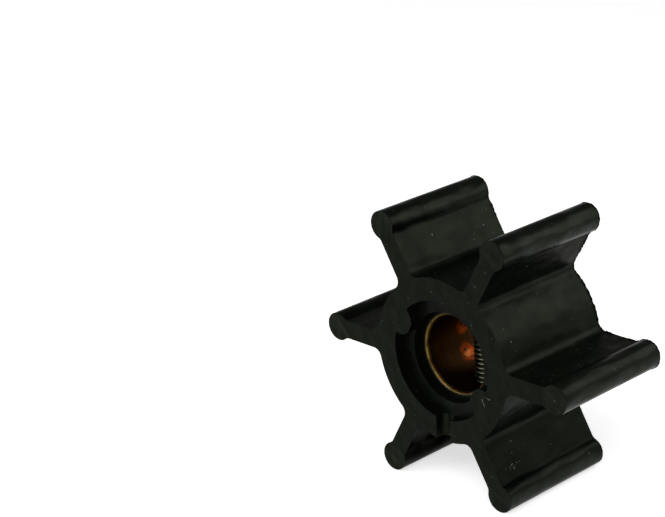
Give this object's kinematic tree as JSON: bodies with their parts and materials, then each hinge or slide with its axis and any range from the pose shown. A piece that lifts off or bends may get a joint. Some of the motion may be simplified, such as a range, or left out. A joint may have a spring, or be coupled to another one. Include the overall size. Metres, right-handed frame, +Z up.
{
  "type": "rubber pump impeller",
  "caption": "Flexible pump impeller: a rubber hub with straight radial bulb-tipped blades, a thin brass bush through it and a threaded drive screw across the bore.",
  "frame": {"origin": "on the shaft axis, halfway along the hub, which is also the centre of the outer size", "axes": "+Z up as the impeller rests on two blade tips, Y along the shaft axis with the recessed front face looking to -Y, X across through two opposite blades"},
  "size_m": [0.0508, 0.0222, 0.0446],
  "materials": {
    "rubber": "matt moulded black rubber with a faint satin sheen on the blade flanks",
    "brass": "turned brass, bright on the end ring and darker inside the bore",
    "steel": "dull threaded steel with bright crests"
  },
  "bodies": {
    "root": {"rubber_body": "rubber", "bush": "brass", "drive_screw": "steel"}
  },
  "joints": []
}
